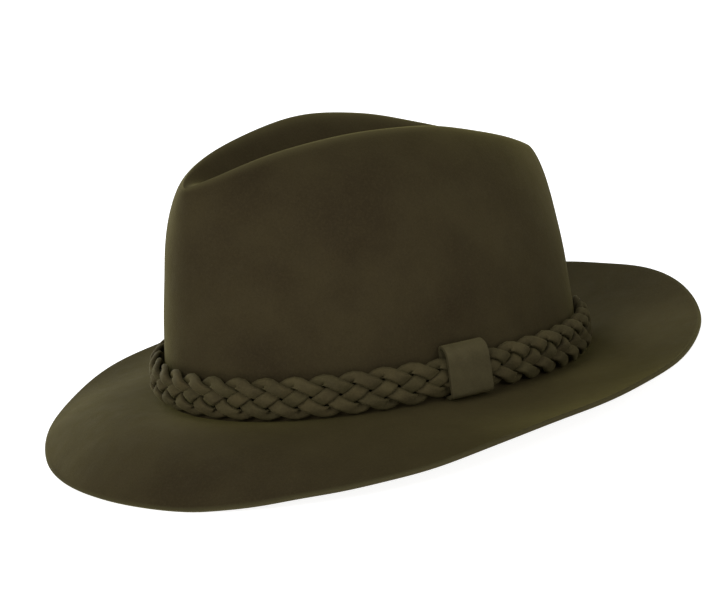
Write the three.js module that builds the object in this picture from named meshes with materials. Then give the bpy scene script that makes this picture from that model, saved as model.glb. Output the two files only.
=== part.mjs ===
import * as THREE from 'three';

// Felt hunting hat with a braided band, resting on its brim and on the rear of its head opening.
// Sizes are in millimetres and angles in degrees. The front faces -y and the wearer's left is +x.

// Head opening and felt
const HEAD_HALF_LENGTH = 103.5;
const HEAD_HALF_WIDTH = 84;
const FELT_THICKNESS = 2.2;
const BREAK_RADIUS = 1.2;

// Crown: the ridge that runs round the crease is a teardrop with its point at the front
const RIDGE_HALF_LENGTH = 97.7;
const RIDGE_HALF_WIDTH = 35.6;
const RIDGE_SETBACK = -2;
const RIDGE_POINT = 0.34;
const RIDGE_CUT = 0.97;
const CROWN_FULLNESS = 3.5;
const CREASE_FULL_AT = 0.8;
const CREASE_ROUNDNESS = 1.3;
const CENTRE_REACH = 6;

// Pose at rest: the hat leans back until the turned-down front of the brim stands on the surface
const REST_TILT = 6.4;
const REST_FLATTENING = 2;

// Braided band
const BAND_FOOT = 0.8;
const BAND_HEIGHT = 18.6;
const BRAID_PERIOD = 51.3;
const STRAND_WIDTH = 5.1;
const STRAND_THICKNESS = 3.1;
const WEAVE_DEPTH = 2;
const STRAND_COUNT = 4;
const TURN_SHARPNESS = 0.94;
const WALL_FOOT = 0.5;
const GAP = 0.3;

// Keeper, a sleeve around the band
const KEEPER_AT = 84;
const KEEPER_WIDTH = 21;
const KEEPER_LEATHER = 1.5;
const KEEPER_HEIGHT = 24;
const KEEPER_FOOT = -0.6;
const KEEPER_SQUEEZE = 0.65;
const KEEPER_NARROWING = 0.88;
const KEEPER_SHOULDER = 8;
const KEEPER_HEEL = 2.8;

// Faces
const COLUMNS = 64;
const CREASE_ROWS = 5;
const WALL_ROWS = 10;
const BRIM_ROWS = 7;
const STEPS_PER_PERIOD = 8;
const KEEPER_SPANS = 4;
const CORNER_FACES = 3;

// Shape around the hat, from the front (0) to the rear (180), alike on both sides
const BRIM_SECTIONS = [
  { at: 0, reach: 65.5, breakSlope: 8.7, edgeSlope: -61.8, breakLift: -4.1 },
  { at: 45, reach: 64.4, breakSlope: -3, edgeSlope: -31.2, breakLift: -1.8 },
  { at: 90, reach: 58.9, breakSlope: -18, edgeSlope: 13.9, breakLift: 1.4 },
  { at: 135, reach: 58, breakSlope: -0.2, edgeSlope: 21.3, breakLift: -1.1 },
  { at: 180, reach: 61.3, breakSlope: 18.5, edgeSlope: 24.2, breakLift: -2 },
];
const CROWN_SECTIONS = [
  { at: 0, ridgeHeight: 99.1, taper: 0.28, creaseDepth: 22, creaseOpening: 2.2 },
  { at: 45, ridgeHeight: 109.1, taper: 0.22, creaseDepth: 22, creaseOpening: 1.2 },
  { at: 90, ridgeHeight: 116.1, taper: 0.34, creaseDepth: 24, creaseOpening: 1 },
  { at: 135, ridgeHeight: 100.7, taper: 0.48, creaseDepth: 19, creaseOpening: 1.4 },
  { at: 180, ridgeHeight: 89.6, taper: 0.45, creaseDepth: 8, creaseOpening: 2 },
];

// Hollows pressed into the crown wall, from the front (0) round the wearer's left (90) and right (-90);
// rise runs from 0 at the brim to 1 at the ridge
const DENTS = [
  { at: 48, rise: 0.62, halfAngle: 20, halfRise: 0.18, depth: 3 },
  { at: -66, rise: 0.62, halfAngle: 20, halfRise: 0.18, depth: 3 },
  { at: 0, rise: 1, halfAngle: 16, halfRise: 0.12, depth: 2 },
];

const UP = new THREE.Vector3(0, 0, 1);
const radians = THREE.MathUtils.degToRad;

// Smooth even curve through one column of a section table
function around(sections, column, theta) {
  const last = sections.length - 1;
  let value = 0;
  for (let k = 0; k <= last; k++) {
    const weight = k === 0 || k === last ? 0.5 : 1;
    let coefficient = 0;
    sections.forEach((section, j) => {
      const share = j === 0 || j === last ? 0.5 : 1;
      coefficient += share * section[column] * Math.cos(k * radians(section.at));
    });
    value += (weight * 2 * coefficient * Math.cos(k * theta)) / last;
  }
  return value;
}

// Head oval at the break between crown and brim, and the direction straight out of it
function breakPoint(theta) {
  const x = HEAD_HALF_WIDTH * Math.sin(theta);
  const y = -HEAD_HALF_LENGTH * Math.cos(theta);
  return new THREE.Vector3(x, y, around(BRIM_SECTIONS, 'breakLift', theta));
}

function outward(theta) {
  const x = Math.sin(theta) / HEAD_HALF_WIDTH;
  const y = -Math.cos(theta) / HEAD_HALF_LENGTH;
  return new THREE.Vector3(x, y, 0).normalize();
}

function ridgePoint(theta) {
  const narrowing = Math.abs(Math.sin(theta / 2)) ** RIDGE_POINT;
  const x = RIDGE_HALF_WIDTH * Math.sin(theta) * narrowing;
  const y = RIDGE_SETBACK - RIDGE_HALF_LENGTH * Math.cos(theta);
  return new THREE.Vector3(x, y, around(CROWN_SECTIONS, 'ridgeHeight', theta));
}

function dentDepth(theta, rise) {
  let depth = 0;
  for (const dent of DENTS) {
    const turn = theta - radians(dent.at);
    const across = Math.atan2(Math.sin(turn), Math.cos(turn)) / radians(dent.halfAngle);
    const along = (rise - dent.rise) / dent.halfRise;
    depth += dent.depth * Math.exp(-across * across - along * along);
  }
  return depth;
}

// Full curve of the crown wall, cut off at the ridge, where the crease begins
function inwardCurve(rise) {
  return 1 - (1 - (RIDGE_CUT * rise) ** CROWN_FULLNESS) ** (1 / CROWN_FULLNESS);
}

// Crown wall: from the break (rise 0) to the ridge (rise 1)
function wallPoint(theta, rise) {
  const foot = breakPoint(theta);
  const ridge = ridgePoint(theta);
  const curve = inwardCurve(rise) / inwardCurve(1);
  const taper = around(CROWN_SECTIONS, 'taper', theta);
  const inward = curve * (1 - taper) + rise * taper;
  const point = new THREE.Vector3(
    THREE.MathUtils.lerp(foot.x, ridge.x, inward),
    THREE.MathUtils.lerp(foot.y, ridge.y, inward),
    THREE.MathUtils.lerp(foot.z, ridge.z, rise),
  );
  const push = outward(theta);
  push.x *= Math.min(1, Math.abs(point.x) / CENTRE_REACH);
  return point.addScaledVector(push, -dentDepth(theta, rise));
}

// Crease: from the ridge (fall 0) down to the valley on the centre line (fall 1)
function creasePoint(theta, fall) {
  const ridge = wallPoint(theta, 1);
  const width = Math.abs(ridge.x) / (RIDGE_HALF_WIDTH * CREASE_FULL_AT);
  const opening = Math.min(1, width) ** around(CROWN_SECTIONS, 'creaseOpening', theta);
  const depth = around(CROWN_SECTIONS, 'creaseDepth', theta) * opening;
  const drop = Math.sin((fall * Math.PI) / 2) ** CREASE_ROUNDNESS;
  return new THREE.Vector3(ridge.x * (1 - fall), ridge.y, ridge.z - depth * drop);
}

// Brim: its slope turns evenly from the break (reach 0) to the cut edge (reach 1)
function brimPoint(theta, reach) {
  const start = radians(around(BRIM_SECTIONS, 'breakSlope', theta));
  const turn = radians(around(BRIM_SECTIONS, 'edgeSlope', theta)) - start;
  const half = (turn * reach) / 2;
  const shortening = Math.abs(half) < 1e-6 ? 1 : Math.sin(half) / half;
  const chord = around(BRIM_SECTIONS, 'reach', theta) * reach * shortening;
  return breakPoint(theta)
    .addScaledVector(outward(theta), chord * Math.cos(start + half))
    .addScaledVector(UP, chord * Math.sin(start + half));
}

// Outer face of the felt at one angle, from the crease's valley to the brim's cut edge
function feltProfile(theta) {
  const points = [];
  for (let i = CREASE_ROWS; i > 0; i--) points.push(creasePoint(theta, i / CREASE_ROWS));
  const lowest = BREAK_RADIUS / around(CROWN_SECTIONS, 'ridgeHeight', theta);
  const firstTurn = Math.asin((RIDGE_CUT * lowest) ** (CROWN_FULLNESS / 2));
  const lastTurn = Math.asin(RIDGE_CUT ** (CROWN_FULLNESS / 2));
  for (let i = WALL_ROWS; i >= 0; i--) {
    const turn = THREE.MathUtils.lerp(firstTurn, lastTurn, i / WALL_ROWS);
    points.push(wallPoint(theta, Math.sin(turn) ** (2 / CROWN_FULLNESS) / RIDGE_CUT));
  }
  const inset = BREAK_RADIUS * (1 - Math.SQRT1_2);
  points.push(breakPoint(theta).addScaledVector(outward(theta), inset).addScaledVector(UP, inset));
  const start = BREAK_RADIUS / around(BRIM_SECTIONS, 'reach', theta);
  for (let i = 0; i <= BRIM_ROWS; i++) {
    points.push(brimPoint(theta, THREE.MathUtils.lerp(start, 1, i / BRIM_ROWS)));
  }
  return points;
}

const poseAtRest = new THREE.Matrix4().makeRotationX(-radians(REST_TILT));

function geometryFrom(points, triangles) {
  const geometry = new THREE.BufferGeometry();
  geometry.setFromPoints(points);
  geometry.setIndex(triangles.filter(([a, b, c]) => a !== b && b !== c && c !== a).flat());
  return geometry;
}

function pushQuad(triangles, a, b, c, d) {
  triangles.push([a, b, c], [a, c, d]);
}

// Felt body: the outer face, a parallel inner face and the cut edge that joins them
function feltGeometry() {
  const outer = [];
  const index = [];
  for (let i = 0; i < COLUMNS; i++) {
    const theta = (2 * Math.PI * i) / COLUMNS;
    const onCentre = i === 0 || i === COLUMNS / 2;
    index.push([]);
    feltProfile(theta).forEach((point, row) => {
      if (onCentre && row < CREASE_ROWS) return;
      if (row === 0 && i > COLUMNS / 2) {
        index[i][row] = index[COLUMNS - i][row];
        return;
      }
      index[i][row] = outer.push(point) - 1;
    });
    if (onCentre) index[i].fill(index[i][CREASE_ROWS], 0, CREASE_ROWS);
  }

  const rows = index[0].length;
  const faces = [];
  for (let i = 0; i < COLUMNS; i++) {
    const next = index[(i + 1) % COLUMNS];
    for (let row = 0; row + 1 < rows; row++) {
      pushQuad(faces, index[i][row], index[i][row + 1], next[row + 1], next[row]);
    }
  }

  const sheet = geometryFrom(outer, faces);
  sheet.computeVertexNormals();
  const normals = sheet.getAttribute('normal');
  const inner = outer.map((point, i) => {
    const normal = new THREE.Vector3().fromBufferAttribute(normals, i);
    return point.clone().addScaledVector(normal, -FELT_THICKNESS);
  });

  const shift = outer.length;
  const triangles = faces.concat(faces.map(([a, b, c]) => [a + shift, c + shift, b + shift]));
  for (let i = 0; i < COLUMNS; i++) {
    const here = index[i][rows - 1];
    const next = index[(i + 1) % COLUMNS][rows - 1];
    pushQuad(triangles, here, here + shift, next + shift, next);
  }
  settle(outer, inner, index.map((column) => column[rows - 1]));
  return geometryFrom(outer.concat(inner), triangles);
}

// Turn the felt to its pose at rest and flatten it where it stands on the surface
function settle(outer, inner, edge) {
  for (const point of outer.concat(inner)) point.applyMatrix4(poseAtRest);
  const lowest = Math.min(...inner.map((point) => point.z));
  const lift = -(lowest + REST_FLATTENING);
  poseAtRest.premultiply(new THREE.Matrix4().makeTranslation(0, 0, lift));
  inner.forEach((point, i) => {
    const top = outer[i];
    point.z += lift;
    top.z += lift;
    if (point.z >= 0) return;
    top.z = edge.includes(i) ? 0 : top.z - point.z;
    point.z = 0;
  });
}

// Places on the band: arc runs along it from the front, height up the crown wall, out from the wall
const ovalCurve = new THREE.EllipseCurve(0, 0, HEAD_HALF_LENGTH, HEAD_HALF_WIDTH);
ovalCurve.arcLengthDivisions = 720;
const OVAL_LENGTH = ovalCurve.getLength();

function angleAtArc(arc) {
  const share = arc / OVAL_LENGTH;
  return 2 * Math.PI * (Math.floor(share) + ovalCurve.getUtoTmapping(share - Math.floor(share)));
}

function arcAtAngle(degrees) {
  let arc = OVAL_LENGTH / 2;
  let step = arc / 2;
  while (step > 1e-9) {
    arc += angleAtArc(arc) < radians(degrees) ? step : -step;
    step /= 2;
  }
  return arc;
}

function bandPoint(arc, height, out) {
  const theta = angleAtArc(arc);
  const step = 0.01;
  const wallHeight = ridgePoint(theta).z - breakPoint(theta).z;
  const rise = Math.max(height, WALL_FOOT) / wallHeight;
  const point = wallPoint(theta, rise);
  const alongOval = wallPoint(theta + step, rise).sub(point);
  const upWall = wallPoint(theta, rise + step).sub(point);
  const normal = alongOval.cross(upWall).normalize();
  point.z += Math.min(height - WALL_FOOT, 0);
  return point.addScaledVector(normal, out).applyMatrix4(poseAtRest);
}

// How far a place on the band is held by the keeper, which squeezes it and passes behind it
const KEEPER_ARC = arcAtAngle(KEEPER_AT);

function keeperHold(arc) {
  const turns = (arc - KEEPER_ARC) / OVAL_LENGTH;
  const away = ((turns - Math.round(turns)) * OVAL_LENGTH) / KEEPER_WIDTH;
  return Math.exp(-(away ** 4));
}

// The band stands on the brim and follows its slope up and down, but the keeper lifts it a little
function bandFoot(arc) {
  const slope = radians(around(BRIM_SECTIONS, 'breakSlope', angleAtArc(arc)));
  const depth = STRAND_THICKNESS / 2 + (slope > 0 ? 2 * WEAVE_DEPTH : GAP + WEAVE_DEPTH);
  const free = BAND_FOOT + depth * Math.tan(slope);
  return THREE.MathUtils.lerp(free, KEEPER_FOOT + KEEPER_LEATHER + GAP, keeperHold(arc));
}

// One lace of the braid: it zigzags between the band's edges and dips under every other lace
function zigzag(phase) {
  const swing = Math.asin(TURN_SHARPNESS * Math.sin(2 * Math.PI * (phase - 0.25)));
  return swing / (2 * Math.asin(TURN_SHARPNESS));
}

// Out (1) and in (-1) of the band: on its way up and on its way down, it meets three other laces
function weave(phase) {
  const turn = phase - Math.floor(phase);
  const half = turn < 0.5 ? turn : turn - 0.5;
  const side = turn < 0.5 ? 1 : -1;
  if (half < 0.125) return -side * Math.sin(4 * Math.PI * half);
  if (half < 0.375) return side * Math.cos(8 * Math.PI * (half - 0.25));
  return side * Math.sin(4 * Math.PI * (half - 0.5));
}

// From a lace's middle to its upper edge, along the laces that cross it, or straight up where it turns
function acrossStrand(climb) {
  const pitch = Math.atan(climb);
  const flat = 0.1;
  if (Math.abs(pitch) < flat) return new THREE.Vector2(0, STRAND_WIDTH / 2);
  const length = STRAND_WIDTH / 2 / Math.abs(Math.sin(2 * pitch));
  const along = -Math.sign(pitch) * Math.cos(pitch);
  return new THREE.Vector2(along, Math.abs(Math.sin(pitch))).multiplyScalar(length);
}

function strandGeometry(number) {
  const periods = Math.round((OVAL_LENGTH / BRAID_PERIOD) * 4) / 4;
  const period = OVAL_LENGTH / periods;
  const travel = BAND_HEIGHT - STRAND_WIDTH;
  const end = 1 / (2 * STEPS_PER_PERIOD);
  const step = 0.01;
  const stations = [];
  const first = KEEPER_ARC / period;
  const count = Math.round(periods * STEPS_PER_PERIOD);
  for (let i = 0; i <= count; i++) {
    const inset = i === 0 ? end : i === count ? -end : 0;
    stations.push(first + i / STEPS_PER_PERIOD + inset);
  }

  const points = [];
  for (const station of stations) {
    const phase = station - first + number / STRAND_COUNT;
    const arc = station * period;
    const climbed = zigzag(phase + step) - zigzag(phase - step);
    const climb = (climbed * travel) / (2 * step * period);
    const across = acrossStrand(climb);
    const hold = keeperHold(arc);
    const squeeze = THREE.MathUtils.lerp(1, KEEPER_SQUEEZE, hold);
    const narrowing = THREE.MathUtils.lerp(1, KEEPER_NARROWING, hold);
    const height = bandFoot(arc) + narrowing * (BAND_HEIGHT / 2 + travel * zigzag(phase));
    const rise = narrowing * across.y;
    const half = (squeeze * STRAND_THICKNESS) / 2;
    const standOff = GAP + squeeze * WEAVE_DEPTH + half + (KEEPER_LEATHER + GAP) * hold;
    const out = standOff + squeeze * WEAVE_DEPTH * weave(phase);
    points.push(bandPoint(arc - across.x, height - rise, out));
    points.push(bandPoint(arc, height, out + half));
    points.push(bandPoint(arc + across.x, height + rise, out));
    points.push(bandPoint(arc, height, out - half));
  }
  return tubeGeometry(points, 4);
}

// Closed body through rings of points, with flat ends
function tubeGeometry(points, sides) {
  const rings = points.length / sides;
  const triangles = [];
  for (let ring = 0; ring + 1 < rings; ring++) {
    for (let i = 0; i < sides; i++) {
      const a = ring * sides + i;
      const b = ring * sides + ((i + 1) % sides);
      pushQuad(triangles, a, a + sides, b + sides, b);
    }
  }
  const last = (rings - 1) * sides;
  for (let i = 1; i + 1 < sides; i++) {
    triangles.push([0, i, i + 1], [last, last + i + 1, last + i]);
  }
  return geometryFrom(points, triangles);
}

// Keeper: a sleeve whose section is a rounded outline that leans back to the crown at its top
function keeperOutline(inset) {
  const back = GAP + inset;
  const braid = KEEPER_SQUEEZE * (2 * WEAVE_DEPTH + STRAND_THICKNESS);
  const front = back + 2 * (KEEPER_LEATHER - inset) + 2 * GAP + braid;
  const foot = KEEPER_FOOT + inset;
  const top = KEEPER_FOOT + KEEPER_HEIGHT - inset;
  const shoulder = KEEPER_SHOULDER - inset;
  const heel = KEEPER_HEEL - inset;
  const outline = new THREE.Shape();
  outline.moveTo(back + heel, foot);
  outline.lineTo(front - heel, foot);
  outline.quadraticCurveTo(front, foot, front, foot + heel);
  outline.lineTo(front, top - shoulder);
  outline.quadraticCurveTo(front, top - 1, back + heel, top);
  outline.quadraticCurveTo(back, top, back, top - heel);
  outline.lineTo(back, foot + heel);
  outline.quadraticCurveTo(back, foot, back + heel, foot);
  return outline.getPoints(CORNER_FACES).slice(0, -1);
}

function keeperGeometry() {
  const outer = keeperOutline(0);
  const inner = keeperOutline(KEEPER_LEATHER);
  const sides = outer.length;
  const points = [];
  for (let span = 0; span <= KEEPER_SPANS; span++) {
    const arc = KEEPER_ARC + KEEPER_WIDTH * (span / KEEPER_SPANS - 0.5);
    for (const corner of outer.concat(inner)) points.push(bandPoint(arc, corner.y, corner.x));
  }
  const triangles = [];
  const ring = 2 * sides;
  for (let i = 0; i < sides; i++) {
    const next = (i + 1) % sides;
    for (let span = 0; span < KEEPER_SPANS; span++) {
      const a = span * ring;
      pushQuad(triangles, a + i, a + ring + i, a + ring + next, a + next);
      pushQuad(triangles, a + sides + i, a + sides + next, a + ring + sides + next, a + ring + sides + i);
    }
    const end = KEEPER_SPANS * ring;
    pushQuad(triangles, i, next, sides + next, sides + i);
    pushQuad(triangles, end + i, end + sides + i, end + sides + next, end + next);
  }
  return geometryFrom(points, triangles);
}

const feltMaterial = new THREE.MeshStandardMaterial({ color: 0x3a3223, roughness: 0.95, metalness: 0 });
const braidMaterial = new THREE.MeshStandardMaterial({ color: 0x443e2b, roughness: 0.85, metalness: 0 });
const keeperMaterial = new THREE.MeshStandardMaterial({ color: 0x413b2a, roughness: 0.85, metalness: 0 });

function addPart(group, name, geometry, material) {
  const mesh = new THREE.Mesh(geometry, material);
  mesh.name = name;
  group.add(mesh);
}

const hat = new THREE.Group();
addPart(hat, 'felt_body', feltGeometry(), feltMaterial);
for (let i = 0; i < STRAND_COUNT; i++) {
  addPart(hat, `braid_strand_${i + 1}`, strandGeometry(i), braidMaterial.clone());
}
addPart(hat, 'band_keeper', keeperGeometry(), keeperMaterial);

// The origin lies under the middle of the hat, on the surface it rests on
const middle = new THREE.Box3().setFromObject(hat).getCenter(new THREE.Vector3());
hat.position.set(-middle.x, -middle.y, 0);

export default hat;
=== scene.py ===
import math

import bpy
import numpy as np
from mathutils import Matrix, Vector


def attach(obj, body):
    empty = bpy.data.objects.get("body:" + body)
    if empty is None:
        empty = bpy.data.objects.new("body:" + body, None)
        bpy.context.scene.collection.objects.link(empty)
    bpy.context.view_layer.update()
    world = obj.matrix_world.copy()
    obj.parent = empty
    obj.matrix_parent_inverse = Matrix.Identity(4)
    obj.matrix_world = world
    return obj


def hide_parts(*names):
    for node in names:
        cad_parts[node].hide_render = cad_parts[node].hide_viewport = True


# Felt hunting hat with a braided suede band and a plain keeper, resting on its brim.
# The shape is worked out here in millimetres and degrees and turned into metres when a mesh is made.
# The lights, the floor and VIEW_CLIP_END are in metres.
# The front faces -y, the wearer's left is +x, and theta runs from the front (0) round the wearer's left.

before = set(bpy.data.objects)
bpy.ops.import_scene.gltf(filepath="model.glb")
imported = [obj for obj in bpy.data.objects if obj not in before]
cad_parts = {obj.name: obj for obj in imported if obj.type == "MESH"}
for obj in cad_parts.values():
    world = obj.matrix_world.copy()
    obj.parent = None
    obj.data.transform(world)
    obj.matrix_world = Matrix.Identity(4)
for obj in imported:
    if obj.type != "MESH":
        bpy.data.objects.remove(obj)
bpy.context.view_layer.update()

MM = 0.001

# Head opening and felt
HEAD_HALF_LENGTH = 103.5
HEAD_HALF_WIDTH = 84
FELT_THICKNESS = 2.2
BREAK_RADIUS = 1.2

# Crown: the ridge that runs round the crease is a teardrop with its point at the front
RIDGE_HALF_LENGTH = 97.7
RIDGE_HALF_WIDTH = 35.6
RIDGE_SETBACK = -2
RIDGE_POINT = 0.34
RIDGE_CUT = 0.97
CROWN_FULLNESS = 3.5
CREASE_FULL_AT = 0.8
CREASE_ROUNDNESS = 1.3
CENTRE_REACH = 6

# Pose at rest
REST_TILT = 6.4
REST_FLATTENING = 2

# Braided band. The laces lie where strands of STRAND_THICKNESS would, and are a little thinner.
# A TURN_SHARPNESS of 1 gives the zigzag sharp corners. LACE_SPREAD widens a lace halfway across the band.
# LACE_SQUARENESS and LACE_CROWN shape a lace's section. BAND_BOW draws the band's edges in to the crown.
# SLANT_AT is the share of the steepest pitch from which a lace's sides line up with the laces it crosses.
# WALL_FOOT is the lowest place on the crown wall that anything follows.
BAND_FOOT = 0.8
BAND_HEIGHT = 19.2
BAND_BOW = 1.0
BRAID_PERIOD = 51.3
WEAVE_DEPTH = 2.0
STRAND_COUNT = 4
STRAND_THICKNESS = 3.1
TURN_SHARPNESS = 0.94
LACE_WIDTH = 5.2
LACE_SPREAD = 0.9
LACE_THICKNESS = 3.0
LACE_SQUARENESS = 0.5
LACE_CROWN = 1.1
SLANT_AT = 0.8
WALL_FOOT = 0.5
GAP = 0.3

# Finish of the felt: rounding of its cut edge, and how softly it is pressed flat where it rests.
# It is even up to BAND_CLEAR on the crown, where the band lies. The last number is the width, in rows, of
# the highlight painted along the crease's ridge.
EDGE_ROUNDING = 0.7
EDGE_SQUARENESS = 0.6
PRESS_SOFTNESS = 0.4
BAND_CLEAR = 30
RIDGE_HIGHLIGHT_ROWS = 2.5

# Keeper, a sleeve around the band
KEEPER_AT = 84
KEEPER_WIDTH = 21
KEEPER_LEATHER = 1.5
KEEPER_HEIGHT = 24
KEEPER_FOOT = -0.6
KEEPER_SQUEEZE = 0.65
KEEPER_NARROWING = 0.88
KEEPER_SHOULDER = 8
KEEPER_SHOULDER_DROP = 1
KEEPER_HEEL = 2.8
KEEPER_ROUNDING = 0.5

# Fineness of the meshes
COLUMNS = 288
CREASE_ROWS = 22
WALL_ROWS = 56
BREAK_ROWS = 5
BRIM_ROWS = 44
EDGE_ROWS = 8
LACE_STEPS = 40
LACE_SIDES = 24
KEEPER_STEPS = 30
KEEPER_CORNER_STEPS = 12
KEEPER_SIDE_STEPS = 10
KEEPER_END_STEPS = 9
KEEPER_LEAST_SIDE = 0.1
OVAL_STEPS = 2880

# Shape around the hat, from the front (0) to the rear (180), alike on both sides
SECTION_ANGLES = np.radians([0, 45, 90, 135, 180])
BRIM_SECTIONS = {
    "reach": [65.5, 64.4, 58.9, 58, 61.3],
    "break_slope": [8.7, -3, -18, -0.2, 18.5],
    "edge_slope": [-61.8, -31.2, 13.9, 21.3, 24.2],
    "break_lift": [-4.1, -1.8, 1.4, -1.1, -2],
}
CROWN_SECTIONS = {
    "ridge_height": [99.1, 109.1, 116.1, 100.7, 89.6],
    "taper": [0.28, 0.22, 0.34, 0.48, 0.45],
    "crease_depth": [22, 22, 24, 19, 8],
    "crease_opening": [2.2, 1.2, 1, 1.4, 2],
}

# Hollows pressed into the crown wall; rise runs from 0 at the brim to 1 at the ridge
DENTS = [
    {"at": 48, "rise": 0.62, "half_angle": 20, "half_rise": 0.18, "depth": 3},
    {"at": -66, "rise": 0.62, "half_angle": 20, "half_rise": 0.18, "depth": 3},
    {"at": 0, "rise": 1, "half_angle": 16, "half_rise": 0.12, "depth": 2},
]

# Slow waves in the hand-blocked felt
WAVES = [
    {"length": 92, "way": (0.8, 0.5, 0.3), "start": 0.4, "height": 0.35},
    {"length": 67, "way": (-0.4, 0.8, 0.5), "start": 2.1, "height": 0.3},
    {"length": 43, "way": (0.5, -0.3, 0.8), "start": 4.0, "height": 0.2},
    {"length": 29, "way": (0.6, 0.6, -0.5), "start": 1.2, "height": 0.1},
]

# View of the photograph, which is taken as 711 by 610 pixels
PICTURE = (711, 610)
VIEW_AZIMUTH = 56.36
VIEW_ELEVATION = 15.7
VIEW_ROLL = -9.08
VIEW_DISTANCE = 1609.8
VIEW_FOCAL_PIXELS = 3424.6
VIEW_CENTRE = (380.5, 391.9)
VIEW_CLIP_END = 100
SENSOR = 36

# Studio: one round soft light for each row, aimed at the hat
LIGHTS = [
    {"name": "front", "place": (0.6, -2.1, 1.6), "power": 34},
    {"name": "side", "place": (-2.3, 0.2, 0.9), "power": 31},
    {"name": "rear", "place": (2.3, 0.6, 1.2), "power": 18},
    {"name": "top", "place": (0, 0, 2.4), "power": 6.6},
]
LIGHT_TARGET = (0, 0, 0.05)
LIGHT_SIZE = 1.6
WORLD_STRENGTH = 0.225
WHITE = (1, 1, 1, 1)
FLOOR_GREY = (0.6, 0.6, 0.6, 1)
FLOOR_GLOW = 0.9
FLOOR_ROUGHNESS = 0.9
FLOOR_HALF = 8


# Points and curves
def vectors(x, y, z):
    return np.stack(np.broadcast_arrays(x, y, z), axis=-1).astype(float)


def unit(v):
    return v / np.maximum(np.linalg.norm(v, axis=-1, keepdims=True), 1e-12)


def smooth(share):
    """The share 0 to 1 with a soft start and end."""
    return share * share * (3 - 2 * share)


def around(values, theta):
    """Smooth even curve through the values of one row of a section table."""
    last = len(values) - 1
    share = np.ones(last + 1)
    share[[0, last]] = 0.5
    total = np.zeros_like(theta, dtype=float)
    for k in range(last + 1):
        coefficient = np.sum(share * np.array(values) * np.cos(k * SECTION_ANGLES))
        total = total + share[k] * 2 * coefficient * np.cos(k * theta) / last
    return total


def break_point(theta):
    lift = around(BRIM_SECTIONS["break_lift"], theta)
    return vectors(HEAD_HALF_WIDTH * np.sin(theta), -HEAD_HALF_LENGTH * np.cos(theta), lift)


def outward(theta):
    return unit(vectors(np.sin(theta) / HEAD_HALF_WIDTH, -np.cos(theta) / HEAD_HALF_LENGTH, 0))


def ridge_point(theta):
    narrowing = np.abs(np.sin(theta / 2)) ** RIDGE_POINT
    x = RIDGE_HALF_WIDTH * np.sin(theta) * narrowing
    y = RIDGE_SETBACK - RIDGE_HALF_LENGTH * np.cos(theta)
    return vectors(x, y, around(CROWN_SECTIONS["ridge_height"], theta))


def dent_depth(theta, rise):
    depth = 0
    for dent in DENTS:
        turn = theta - math.radians(dent["at"])
        across = np.arctan2(np.sin(turn), np.cos(turn)) / math.radians(dent["half_angle"])
        along = (rise - dent["rise"]) / dent["half_rise"]
        depth = depth + dent["depth"] * np.exp(-across**2 - along**2)
    return depth


def inward_curve(rise):
    """Full curve of the crown wall, cut off at the ridge, where the crease begins."""
    return 1 - (1 - (RIDGE_CUT * rise) ** CROWN_FULLNESS) ** (1 / CROWN_FULLNESS)


def wall_point(theta, rise):
    """Crown wall: from the break (rise 0) to the ridge (rise 1)."""
    foot, ridge = break_point(theta), ridge_point(theta)
    curve = inward_curve(rise) / inward_curve(1)
    taper = around(CROWN_SECTIONS["taper"], theta)
    inward = curve * (1 - taper) + rise * taper
    share = vectors(inward, inward, rise)
    point = foot + (ridge - foot) * share
    push = outward(theta) * dent_depth(theta, rise)[..., None]
    push[..., 0] *= np.minimum(1, np.abs(point[..., 0]) / CENTRE_REACH)
    return point - push


def crease_point(theta, fall):
    """Crease: from the ridge (fall 0) down to the valley on the centre line (fall 1)."""
    ridge = wall_point(theta, np.ones_like(theta))
    width = np.abs(ridge[..., 0]) / (RIDGE_HALF_WIDTH * CREASE_FULL_AT)
    opening = np.minimum(1, width) ** around(CROWN_SECTIONS["crease_opening"], theta)
    depth = around(CROWN_SECTIONS["crease_depth"], theta) * opening
    drop = np.sin(fall * math.pi / 2) ** CREASE_ROUNDNESS
    return vectors(ridge[..., 0] * (1 - fall), ridge[..., 1], ridge[..., 2] - depth * drop)


def brim_point(theta, reach):
    """Brim: its slope turns evenly from the break (reach 0) to the cut edge (reach 1)."""
    start = np.radians(around(BRIM_SECTIONS["break_slope"], theta))
    turn = np.radians(around(BRIM_SECTIONS["edge_slope"], theta)) - start
    half = turn * reach / 2
    chord = around(BRIM_SECTIONS["reach"], theta) * reach * np.sinc(half / math.pi)
    flat = outward(theta) * (chord * np.cos(start + half))[..., None]
    return break_point(theta) + flat + vectors(0, 0, chord * np.sin(start + half))


# Meshes
def mesh_piece(name, points, faces):
    """Smooth shaded mesh object, from points in millimetres."""
    mesh = bpy.data.meshes.new(name)
    mesh.from_pydata((points * MM).tolist(), [], faces)
    mesh.validate()
    mesh.shade_smooth()
    piece = bpy.data.objects.new(name, mesh)
    bpy.context.scene.collection.objects.link(piece)
    return piece


def grid_faces(index, wrap):
    """Quads between neighbouring columns of a table of point numbers."""
    here = index if wrap else index[:-1]
    beside = np.roll(index, -1, axis=0) if wrap else index[1:]
    quads = np.stack([here[:, :-1], here[:, 1:], beside[:, 1:], beside[:, :-1]], axis=-1)
    return quads.reshape(-1, 4)


def point_normals(points, quads):
    normals = np.zeros_like(points)
    a, b, c, d = (points[quads[:, k]] for k in range(4))
    cross = np.cross(c - a, d - b)
    for k in range(4):
        np.add.at(normals, quads[:, k], cross)
    return unit(normals)


def clean_faces(quads):
    """Faces of three or four corners, from quads in which a corner may stand more than once."""
    faces = []
    for quad in quads.tolist():
        corners = list(dict.fromkeys(quad))
        if len(corners) > 2:
            faces.append(tuple(corners))
    return faces


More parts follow.
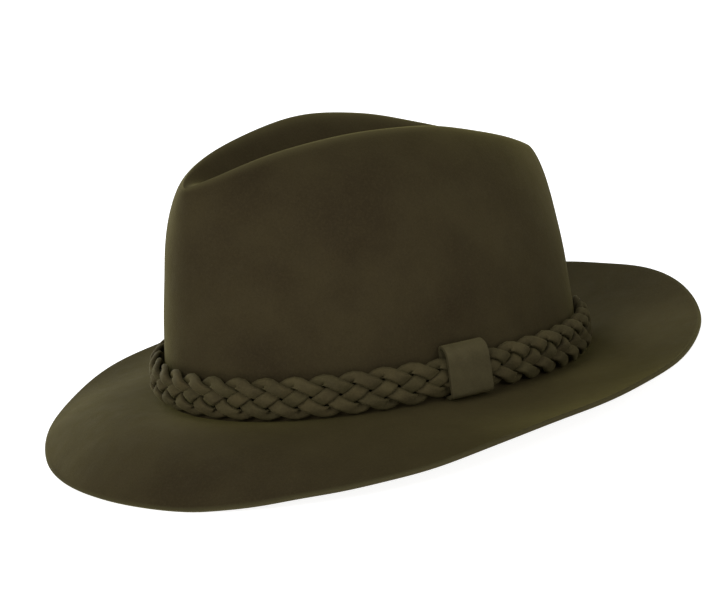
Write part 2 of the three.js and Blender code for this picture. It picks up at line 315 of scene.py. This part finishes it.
def add_values(piece, name, values):
    """Store a number for each point of the piece, for its material to read."""
    attribute = piece.data.attributes.new(name, "FLOAT", "POINT")
    attribute.data.foreach_set("value", np.asarray(values, np.float32))


# Felt body
def felt_rows(theta):
    """Outer face, from the crease's valley to the brim's cut edge: a row of points for each place."""
    rows = [crease_point(theta, i / CREASE_ROWS) for i in range(CREASE_ROWS, 0, -1)]
    lowest = BREAK_RADIUS / around(CROWN_SECTIONS["ridge_height"], theta)
    first = np.arcsin((RIDGE_CUT * lowest) ** (CROWN_FULLNESS / 2))
    last = math.asin(RIDGE_CUT ** (CROWN_FULLNESS / 2))
    for i in range(WALL_ROWS, -1, -1):
        turn = first + (last - first) * i / WALL_ROWS
        rows.append(wall_point(theta, np.sin(turn) ** (2 / CROWN_FULLNESS) / RIDGE_CUT))
    for i in range(1, BREAK_ROWS):
        turn = math.pi / 2 * i / BREAK_ROWS
        out = BREAK_RADIUS * (1 - math.cos(turn))
        up = BREAK_RADIUS * (1 - math.sin(turn))
        rows.append(break_point(theta) + outward(theta) * out + vectors(0, 0, up))
    length = around(BRIM_SECTIONS["reach"], theta)
    start, end = BREAK_RADIUS / length, 1 - EDGE_ROUNDING / length
    for i in range(BRIM_ROWS + 1):
        rows.append(brim_point(theta, start + (end - start) * i / BRIM_ROWS))
    return rows


def handling(points, strength):
    """Soft unevenness of hand-blocked felt, a millimetre or less."""
    total = np.zeros(points.shape[:-1])
    for wave in WAVES:
        along = points @ unit(np.array(wave["way"])) * (2 * math.pi / wave["length"])
        total += wave["height"] * np.sin(along + wave["start"])
    return total * strength


def handled(outer, row):
    """Outer face with its unevenness, which fades out towards the band."""
    band_row = CREASE_ROWS + WALL_ROWS
    break_row = band_row + BREAK_ROWS
    strength = np.where(row < band_row, np.clip((outer[:, 2] - BAND_CLEAR) / BAND_CLEAR, 0, 1), 0)
    strength = np.where(row > break_row, np.clip((row - break_row) / BRIM_ROWS, 0, 1), strength)
    from_middle = unit(outer - vectors(0, 0, BAND_CLEAR))
    way = np.where((row < band_row)[:, None], from_middle, vectors(0, 0, 1))
    return outer + way * handling(outer, strength)[:, None]


def tilt_back(points):
    turn = -math.radians(REST_TILT)
    x, y, z = np.moveaxis(points, -1, 0)
    return vectors(x, y * math.cos(turn) - z * math.sin(turn), y * math.sin(turn) + z * math.cos(turn))


def felt_index(columns, rows):
    """Number of each point. The two sides of the crease share its valley, and its ends close."""
    index = np.arange(columns * rows).reshape(columns, rows)
    half = columns // 2
    index[half + 1:, 0] = index[1:half, 0][::-1]
    for centre in (0, half):
        index[centre, :CREASE_ROWS] = index[centre, CREASE_ROWS]
    return index


def cut_edge(outer, inner, normals, tangent):
    """Rounded rows of points between the outer and the inner face at the brim's edge."""
    middle = (outer + inner) / 2
    edge = []
    for k in range(1, EDGE_ROWS):
        turn = math.pi * (0.5 - k / EDGE_ROWS)
        side = math.copysign(abs(math.sin(turn)) ** EDGE_SQUARENESS, math.sin(turn))
        out = abs(math.cos(turn)) ** EDGE_SQUARENESS * EDGE_ROUNDING
        edge.append(middle + normals * side * FELT_THICKNESS / 2 + tangent * out)
    return np.stack(edge, axis=1)


def felt_body():
    """The felt as one closed wall, and the move that carries any place on the hat to its pose at rest."""
    theta = 2 * math.pi * np.arange(COLUMNS) / COLUMNS
    table = np.stack(felt_rows(theta), axis=1)
    columns, rows = table.shape[:2]
    index = felt_index(columns, rows)
    quads = grid_faces(index, wrap=True)
    row = np.tile(np.arange(rows), columns)
    last, before = index[:, -1], index[:, -2]

    outer = handled(table.reshape(-1, 3), row)
    normals = point_normals(outer, quads)
    inner = outer - normals * FELT_THICKNESS
    edge = cut_edge(outer[last], inner[last], normals[last], unit(outer[last] - outer[before]))

    # The hat leans back and sinks until its lowest felt is pressed flat
    outer, inner, edge = tilt_back(outer), tilt_back(inner), tilt_back(edge)
    used = np.unique(index)
    lift = -(inner[used, 2].min() + REST_FLATTENING)
    depth = inner[:, 2] + lift
    press = (np.hypot(depth, PRESS_SOFTNESS) - depth) / 2
    outer[:, 2] += lift + press
    inner[:, 2] += lift + press
    edge[..., 2] += lift + press[last][:, None]
    lowest = min(inner[used, 2].min(), edge[..., 2].min())
    for part in (outer, inner, edge):
        part[..., 2] -= lowest

    count = len(outer)
    edge_index = 2 * count + np.arange(edge.shape[0] * edge.shape[1]).reshape(edge.shape[:2])
    rim = np.concatenate([last[:, None], edge_index, last[:, None] + count], axis=1)
    faces = clean_faces(quads) + [f[::-1] for f in clean_faces(quads + count)]
    faces += clean_faces(grid_faces(rim, wrap=True))
    points = np.concatenate([outer, inner, edge.reshape(-1, 3)])
    box_middle = np.array([0.5, 0.5, 0]) * (points.min(0) + points.max(0))
    points = points - box_middle
    shift = np.array([-box_middle[0], -box_middle[1], lift - lowest])

    at_edge = row == rows - 1
    # Painted highlight: a lighter line along the crease's ridge, on the outer face only, fading within a
    # few rows
    highlight_near_ridge = np.exp(-((row - CREASE_ROWS) / RIDGE_HIGHLIGHT_ROWS) ** 2)
    cut = np.concatenate([at_edge, at_edge, np.ones(edge_index.size)])
    ridge = np.concatenate([highlight_near_ridge, np.zeros(count), np.zeros(edge_index.size)])

    keep = np.unique(np.concatenate([index.ravel(), index.ravel() + count, edge_index.ravel()]))
    renumber = np.zeros(len(points), int)
    renumber[keep] = np.arange(len(keep))
    faces = [tuple(int(renumber[i]) for i in face) for face in faces]
    piece = mesh_piece("hat_felt", points[keep], faces)
    add_values(piece, "cut", cut[keep])
    add_values(piece, "ridge", ridge[keep])
    return piece, shift


# Places on the band: arc runs along it from the front, height up the crown wall, out from the wall
OVAL_TURNS = np.linspace(0, 2 * math.pi, OVAL_STEPS + 1)
OVAL_CHORDS = np.hypot(
    np.diff(HEAD_HALF_LENGTH * np.cos(OVAL_TURNS)),
    np.diff(HEAD_HALF_WIDTH * np.sin(OVAL_TURNS)),
)
OVAL_ARCS = np.concatenate([[0], np.cumsum(OVAL_CHORDS)])
OVAL_LENGTH = OVAL_ARCS[-1]
KEEPER_ARC = np.interp(math.radians(KEEPER_AT), OVAL_TURNS, OVAL_ARCS)


def angle_at_arc(arc):
    turns = np.floor(arc / OVAL_LENGTH)
    return 2 * math.pi * turns + np.interp(arc - turns * OVAL_LENGTH, OVAL_ARCS, OVAL_TURNS)


def band_point(arc, height, out):
    arc, height, out = np.broadcast_arrays(arc, height, out)
    theta = angle_at_arc(arc)
    step = 0.01
    wall_height = ridge_point(theta)[..., 2] - break_point(theta)[..., 2]
    rise = np.maximum(height, WALL_FOOT) / wall_height
    point = wall_point(theta, rise)
    along_oval = wall_point(theta + step, rise) - point
    up_wall = wall_point(theta, rise + step) - point
    normal = unit(np.cross(along_oval, up_wall))
    point[..., 2] += np.minimum(height - WALL_FOOT, 0)
    return point + normal * out[..., None]


def keeper_hold(arc):
    """How far a place on the band is held by the keeper, which squeezes it and passes behind it."""
    turns = (arc - KEEPER_ARC) / OVAL_LENGTH
    away = (turns - np.round(turns)) * OVAL_LENGTH / KEEPER_WIDTH
    return np.exp(-(away**4))


def band_foot(arc):
    """The band stands on the brim and follows its slope, but the keeper lifts it a little."""
    slope = np.radians(around(BRIM_SECTIONS["break_slope"], angle_at_arc(arc)))
    depth = STRAND_THICKNESS / 2 + np.where(slope > 0, 2 * WEAVE_DEPTH, GAP + WEAVE_DEPTH)
    free = BAND_FOOT + depth * np.tan(slope)
    return free + (KEEPER_FOOT + KEEPER_LEATHER + GAP - free) * keeper_hold(arc)


# One lace of the braid: it zigzags between the band's edges, over one lace and under the next
def zigzag(phase):
    swing = np.arcsin(TURN_SHARPNESS * np.sin(2 * math.pi * (phase - 0.25)))
    return swing / (2 * math.asin(TURN_SHARPNESS))


def weave(phase):
    """How far out a lace lies, -1 to 1: in, out, in on its way up, and out, in, out on its way down."""
    turn = phase - np.floor(phase)
    side = np.where(turn < 0.5, 1, -1)
    half = turn % 0.5
    start = -np.sin(4 * math.pi * half)
    middle = np.cos(8 * math.pi * (half - 0.25))
    end = np.sin(4 * math.pi * (half - 0.5))
    return side * np.where(half < 1 / 8, start, np.where(half < 3 / 8, middle, end))


def lace_side(phase, travel, period):
    """From a lace's middle to its side, along and up the band."""
    step = 0.005
    climb = (zigzag(phase + step) - zigzag(phase - step)) * travel / (2 * step * period)
    steepest = math.atan(TURN_SHARPNESS / math.asin(TURN_SHARPNESS) * math.pi * travel / period)
    pitch = np.arctan(climb)
    slant = smooth(np.clip(np.abs(pitch) / (SLANT_AT * steepest), 0, 1))
    lean = slant * (math.pi / 2 - 2 * np.abs(pitch))
    spread = LACE_SPREAD * (1 - (2 * zigzag(phase)) ** 2) ** 2
    length = (LACE_WIDTH + spread) / 2 / np.cos(lean)
    turned = np.abs(pitch) + lean
    return np.stack([-np.sign(pitch) * np.sin(turned), np.cos(turned)], axis=-1) * length[:, None]


def lace_section():
    """Outline across a lace: share of the way to its side, and millimetres out from its middle."""
    corner = 2 * math.pi * np.arange(LACE_SIDES) / LACE_SIDES
    wide, thick = np.cos(corner), np.sin(corner)
    wide = np.sign(wide) * np.abs(wide) ** LACE_SQUARENESS
    thick = np.sign(thick) * np.abs(thick) ** LACE_CROWN * LACE_THICKNESS / 2
    return wide, thick


def lace(number, shift):
    periods = round(OVAL_LENGTH / BRAID_PERIOD * STRAND_COUNT) / STRAND_COUNT
    period = OVAL_LENGTH / periods
    travel = BAND_HEIGHT - LACE_WIDTH
    station = np.linspace(0, periods, round(periods * LACE_STEPS) + 1)
    phase = station + number / STRAND_COUNT
    arc = station * period + KEEPER_ARC

    hold = keeper_hold(arc)
    squeeze = 1 + (KEEPER_SQUEEZE - 1) * hold
    narrowing = 1 + (KEEPER_NARROWING - 1) * hold
    stand_off = GAP + squeeze * (WEAVE_DEPTH + STRAND_THICKNESS / 2) + (KEEPER_LEATHER + GAP) * hold
    middle_out = stand_off + squeeze * WEAVE_DEPTH * weave(phase)

    side = lace_side(phase, travel, period)
    wide, thick = lace_section()
    place = arc[:, None] + side[:, :1] * wide
    rise = travel * zigzag(phase)[:, None] + side[:, 1:] * wide
    bowed = BAND_BOW * (2 * rise / BAND_HEIGHT) ** 4
    out = middle_out[:, None] + squeeze[:, None] * thick - bowed
    height = band_foot(arc)[:, None] + narrowing[:, None] * (BAND_HEIGHT / 2 + rise)
    points = tilt_back(band_point(place, height, out)) + shift

    index = np.arange(points.shape[0] * LACE_SIDES).reshape(-1, LACE_SIDES)
    ring = np.concatenate([index, index[:, :1]], axis=1)
    faces = clean_faces(grid_faces(ring, wrap=False)[:, ::-1])
    faces.append(tuple(index[0].tolist()))
    faces.append(tuple(index[-1][::-1].tolist()))
    piece = mesh_piece(f"hat_braid_lace_{number + 1}", points.reshape(-1, 3), faces)
    add_values(piece, "side", np.tile(np.abs(wide), len(station)))
    return piece


# Keeper: a sleeve whose section is a rounded outline that leans back to the crown at its top
def bend(start, corner, end, t):
    """Rounded corner between two straight sides."""
    start, corner, end = (np.array(p)[None, :] for p in (start, corner, end))
    return start * (1 - t) ** 2 + corner * 2 * t * (1 - t) + end * t**2


def keeper_outline(inset):
    """Section of the sleeve as distances out from the wall and up from the brim, inset into its leather."""
    back = GAP + inset
    braid = KEEPER_SQUEEZE * (2 * WEAVE_DEPTH + STRAND_THICKNESS)
    front = back + 2 * (KEEPER_LEATHER - inset) + 2 * GAP + braid
    foot = KEEPER_FOOT + inset
    top = KEEPER_FOOT + KEEPER_HEIGHT - inset
    shoulder = KEEPER_SHOULDER - inset
    heel = KEEPER_HEEL - inset
    corners = [
        ((front - heel, foot), (front, foot), (front, foot + heel)),
        ((front, top - shoulder), (front, top - KEEPER_SHOULDER_DROP), (back + heel, top)),
        ((back + heel, top), (back, top), (back, top - heel)),
        ((back, foot + heel), (back, foot), (back + heel, foot)),
    ]
    t = np.linspace(0, 1, KEEPER_CORNER_STEPS)[:, None]
    stretch = np.linspace(0, 1, KEEPER_SIDE_STEPS, endpoint=False)[1:, None]
    points = []
    for k, (start, corner, end) in enumerate(corners):
        points.append(bend(start, corner, end, t))
        following = np.array(corners[(k + 1) % len(corners)][0])
        if math.dist(end, following) > KEEPER_LEAST_SIDE:
            points.append(np.array(end) * (1 - stretch) + following * stretch)
    return np.concatenate(points)


def keeper(shift):
    outer, inner = keeper_outline(0), keeper_outline(KEEPER_LEATHER)
    half = KEEPER_WIDTH / 2 - KEEPER_ROUNDING
    run = np.linspace(-half, half, KEEPER_STEPS)
    turn = np.linspace(0, math.pi, KEEPER_END_STEPS)[1:-1]
    round_along = np.sin(turn) ** EDGE_SQUARENESS * KEEPER_ROUNDING
    round_depth = (1 - np.sign(np.cos(turn)) * np.abs(np.cos(turn)) ** EDGE_SQUARENESS) / 2
    along = np.concatenate([run, half + round_along, run[::-1], -half - round_along])
    depth = np.concatenate([0 * run, round_depth, 0 * run + 1, 1 - round_depth])
    section = outer[:, None] + (inner - outer)[:, None] * depth[None, :, None]
    place = KEEPER_ARC + along[None, :] * np.ones((len(outer), 1))
    points = tilt_back(band_point(place, section[..., 1], section[..., 0])) + shift
    index = np.arange(points.shape[0] * points.shape[1]).reshape(points.shape[:2])
    ring = np.concatenate([index, index[:, :1]], axis=1)
    piece = mesh_piece("hat_keeper", points.reshape(-1, 3), clean_faces(grid_faces(ring, wrap=True)))
    add_values(piece, "cut", np.tile((depth > 0) & (depth < 1), len(outer)))
    return piece


# Materials
def colour(red, green, blue):
    """Linear colour from the values 0 to 255 that a screen shows."""
    values = [v / 255 for v in (red, green, blue)]
    linear = [v / 12.92 if v <= 0.04045 else ((v + 0.055) / 1.055) ** 2.4 for v in values]
    return (*linear, 1.0)


FELT_DARK = colour(45, 38, 24)
FELT_LIGHT = colour(54, 47, 30)
FELT_FIBRE = colour(64, 56, 36)
FELT_PIT = colour(30, 25, 15)
# Colour of the highlight painted along the crease's ridge
FELT_RIDGE_HIGHLIGHT = colour(78, 72, 47)
FELT_CUT = colour(66, 62, 41)
FELT_SHEEN = colour(158, 150, 84)
SUEDE_FIBRE = colour(80, 72, 48)
SUEDE_EDGE = colour(40, 34, 21)
SUEDE_SHEEN = colour(155, 148, 92)
LACE_COLOURS = [
    {"light": colour(66, 59, 38), "dark": colour(57, 50, 32)},
    {"light": colour(63, 57, 36), "dark": colour(54, 48, 30)},
    {"light": colour(68, 61, 39), "dark": colour(59, 52, 33)},
    {"light": colour(65, 57, 36), "dark": colour(55, 49, 31)},
]
KEEPER_COLOURS = {"light": colour(71, 65, 44), "dark": colour(63, 57, 38)}


def set_values(node, values):
    for name, value in values.items():
        node.inputs[name].default_value = value


class Nodes:
    """A material with its shader, and short calls for the nodes that the materials share."""

    def __init__(self, name):
        self.material = bpy.data.materials.new(name)
        self.material.use_nodes = True
        self.tree = self.material.node_tree
        self.shader = self.tree.nodes["Principled BSDF"]
        self.place = self.tree.nodes.new("ShaderNodeTexCoord").outputs["Object"]

    def link(self, source, socket):
        if isinstance(source, bpy.types.NodeSocket):
            self.tree.links.new(source, socket)
        else:
            socket.default_value = source

    def noise(self, size, detail, roughness=0.5):
        """Noise whose lumps are about size millimetres across."""
        node = self.tree.nodes.new("ShaderNodeTexNoise")
        set_values(node, {"Scale": 1 / (size * MM), "Detail": detail, "Roughness": roughness})
        self.link(self.place, node.inputs["Vector"])
        return node.outputs["Fac"]

    def stored(self, name):
        """The numbers that add_values stored under this name."""
        node = self.tree.nodes.new("ShaderNodeAttribute")
        node.attribute_name = name
        return node.outputs["Fac"]

    def spread(self, source, low, high, to_low=0, to_high=1):
        """The source's values from low to high, turned into to_low to to_high."""
        node = self.tree.nodes.new("ShaderNodeMapRange")
        set_values(node, {"From Min": low, "From Max": high, "To Min": to_low, "To Max": to_high})
        self.link(source, node.inputs["Value"])
        return node.outputs["Result"]

    def mix(self, share, a, b):
        node = self.tree.nodes.new("ShaderNodeMix")
        node.data_type = "RGBA"
        self.link(share, node.inputs["Factor"])
        self.link(a, node.inputs["A"])
        self.link(b, node.inputs["B"])
        return node.outputs["Result"]

    def bump(self, height, distance, strength, normal=None):
        node = self.tree.nodes.new("ShaderNodeBump")
        set_values(node, {"Distance": distance * MM, "Strength": strength})
        self.link(height, node.inputs["Height"])
        if normal is not None:
            self.link(normal, node.inputs["Normal"])
        return node.outputs["Normal"]

    def surface(self, look, roughness, normal, values):
        """Link what varies to the shader, set the rest, and give the material."""
        self.link(look, self.shader.inputs["Base Color"])
        self.link(roughness, self.shader.inputs["Roughness"])
        self.link(normal, self.shader.inputs["Normal"])
        set_values(self.shader, values)
        return self.material


def felt_material():
    n = Nodes("fur_felt")
    mottle = n.spread(n.noise(size=38, detail=3), low=0.35, high=0.65)
    flecks = n.spread(n.noise(size=1.1, detail=4, roughness=0.7), low=0.45, high=0.75, to_high=0.4)
    pits = n.spread(n.noise(size=0.6, detail=2, roughness=0.6), low=0.3, high=0.5, to_low=0.25, to_high=0)
    # Painted highlight: the felt is mixed towards a lighter colour along the crease's ridge
    ridge_highlight = n.spread(n.stored("ridge"), low=0, high=1, to_high=0.7)
    cut = n.spread(n.stored("cut"), low=0, high=1, to_high=0.6)
    look = n.mix(mottle, FELT_DARK, FELT_LIGHT)
    look = n.mix(flecks, look, FELT_FIBRE)
    look = n.mix(pits, look, FELT_PIT)
    look = n.mix(ridge_highlight, look, FELT_RIDGE_HIGHLIGHT)
    look = n.mix(cut, look, FELT_CUT)
    roughness = n.spread(n.noise(size=7, detail=3), low=0.3, high=0.7, to_low=0.88, to_high=1)
    lumps = n.bump(n.noise(size=5, detail=3, roughness=0.55), distance=0.25, strength=0.35)
    nap = n.bump(n.noise(size=0.8, detail=5, roughness=0.75), distance=0.12, strength=0.45, normal=lumps)
    return n.surface(look, roughness, nap, {
        "Specular IOR Level": 0.06,
        "Sheen Weight": 0.4,
        "Sheen Roughness": 0.4,
        "Sheen Tint": FELT_SHEEN,
    })


def suede_material(name, colours, edge_name):
    """Suede that is darker where the stored value named edge_name nears 1."""
    n = Nodes(name)
    mottle = n.spread(n.noise(size=9, detail=3), low=0.35, high=0.65)
    flecks = n.spread(n.noise(size=0.9, detail=4, roughness=0.7), low=0.45, high=0.75, to_high=0.5)
    edges = n.spread(n.stored(edge_name), low=0.75, high=1, to_high=0.55)
    look = n.mix(mottle, colours["dark"], colours["light"])
    look = n.mix(flecks, look, SUEDE_FIBRE)
    look = n.mix(edges, look, SUEDE_EDGE)
    roughness = n.spread(n.noise(size=4, detail=3), low=0.3, high=0.7, to_low=0.8, to_high=0.95)
    creases = n.bump(n.noise(size=2.2, detail=3, roughness=0.6), distance=0.3, strength=0.35)
    nap = n.bump(n.noise(size=0.7, detail=4, roughness=0.7), distance=0.1, strength=0.5, normal=creases)
    return n.surface(look, roughness, nap, {
        "Specular IOR Level": 0.1,
        "Sheen Weight": 0.25,
        "Sheen Roughness": 0.5,
        "Sheen Tint": SUEDE_SHEEN,
    })


# Camera at the photograph's angle
def camera():
    azimuth, elevation, roll = (math.radians(v) for v in (VIEW_AZIMUTH, VIEW_ELEVATION, VIEW_ROLL))
    flat = math.cos(elevation)
    back = Vector((math.sin(azimuth) * flat, -math.cos(azimuth) * flat, math.sin(elevation)))
    level = Vector((math.cos(azimuth), math.sin(azimuth), 0))
    upright = back.cross(level)
    right = math.cos(roll) * level + math.sin(roll) * upright
    up = -math.sin(roll) * level + math.cos(roll) * upright
    per_pixel = VIEW_DISTANCE / VIEW_FOCAL_PIXELS
    across = (VIEW_CENTRE[0] - PICTURE[0] / 2) * per_pixel
    down = (VIEW_CENTRE[1] - PICTURE[1] / 2) * per_pixel
    place = back * VIEW_DISTANCE - right * across + up * down
    data = bpy.data.cameras.new("photo_camera")
    data.sensor_width = SENSOR
    data.lens = VIEW_FOCAL_PIXELS / PICTURE[0] * SENSOR
    data.clip_end = VIEW_CLIP_END
    eye = bpy.data.objects.new("photo_camera", data)
    axes = Matrix((right, up, back)).transposed().to_4x4()
    eye.matrix_world = Matrix.Translation(place * MM) @ axes
    bpy.context.scene.collection.objects.link(eye)
    bpy.context.scene.camera = eye


def soft_light(name, place, power):
    data = bpy.data.lights.new(name, "AREA")
    data.shape = "DISK"
    data.size = LIGHT_SIZE
    data.energy = power
    light = bpy.data.objects.new(name, data)
    light.location = place
    light.rotation_euler = (Vector(LIGHT_TARGET) - Vector(place)).to_track_quat("-Z", "Y").to_euler()
    bpy.context.scene.collection.objects.link(light)


def studio():
    bpy.context.scene.view_settings.view_transform = "Standard"
    world = bpy.data.worlds.new("studio")
    world.use_nodes = True
    set_values(world.node_tree.nodes["Background"], {"Color": WHITE, "Strength": WORLD_STRENGTH})
    bpy.context.scene.world = world
    for light in LIGHTS:
        soft_light(**light)

    mesh = bpy.data.meshes.new("floor")
    corners = [(x * FLOOR_HALF, y * FLOOR_HALF, 0) for x, y in ((-1, -1), (1, -1), (1, 1), (-1, 1))]
    mesh.from_pydata(corners, [], [(0, 1, 2, 3)])
    floor = bpy.data.objects.new("floor", mesh)
    bpy.context.scene.collection.objects.link(floor)
    pale = bpy.data.materials.new("pale_floor")
    pale.use_nodes = True
    set_values(pale.node_tree.nodes["Principled BSDF"], {
        "Base Color": FLOOR_GREY,
        "Roughness": FLOOR_ROUGHNESS,
        "Emission Color": WHITE,
        "Emission Strength": FLOOR_GLOW,
    })
    mesh.materials.append(pale)


def place_piece(piece, material, node):
    piece.data.materials.append(material)
    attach(piece, "root")
    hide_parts(node)


camera()
studio()

felt, rest_shift = felt_body()
place_piece(felt, felt_material(), "felt_body")
for number in range(STRAND_COUNT):
    suede = suede_material(f"lace_suede_{number + 1}", LACE_COLOURS[number], "side")
    place_piece(lace(number, rest_shift), suede, f"braid_strand_{number + 1}")
keeper_suede = suede_material("keeper_suede", KEEPER_COLOURS, "cut")
place_piece(keeper(rest_shift), keeper_suede, "band_keeper")
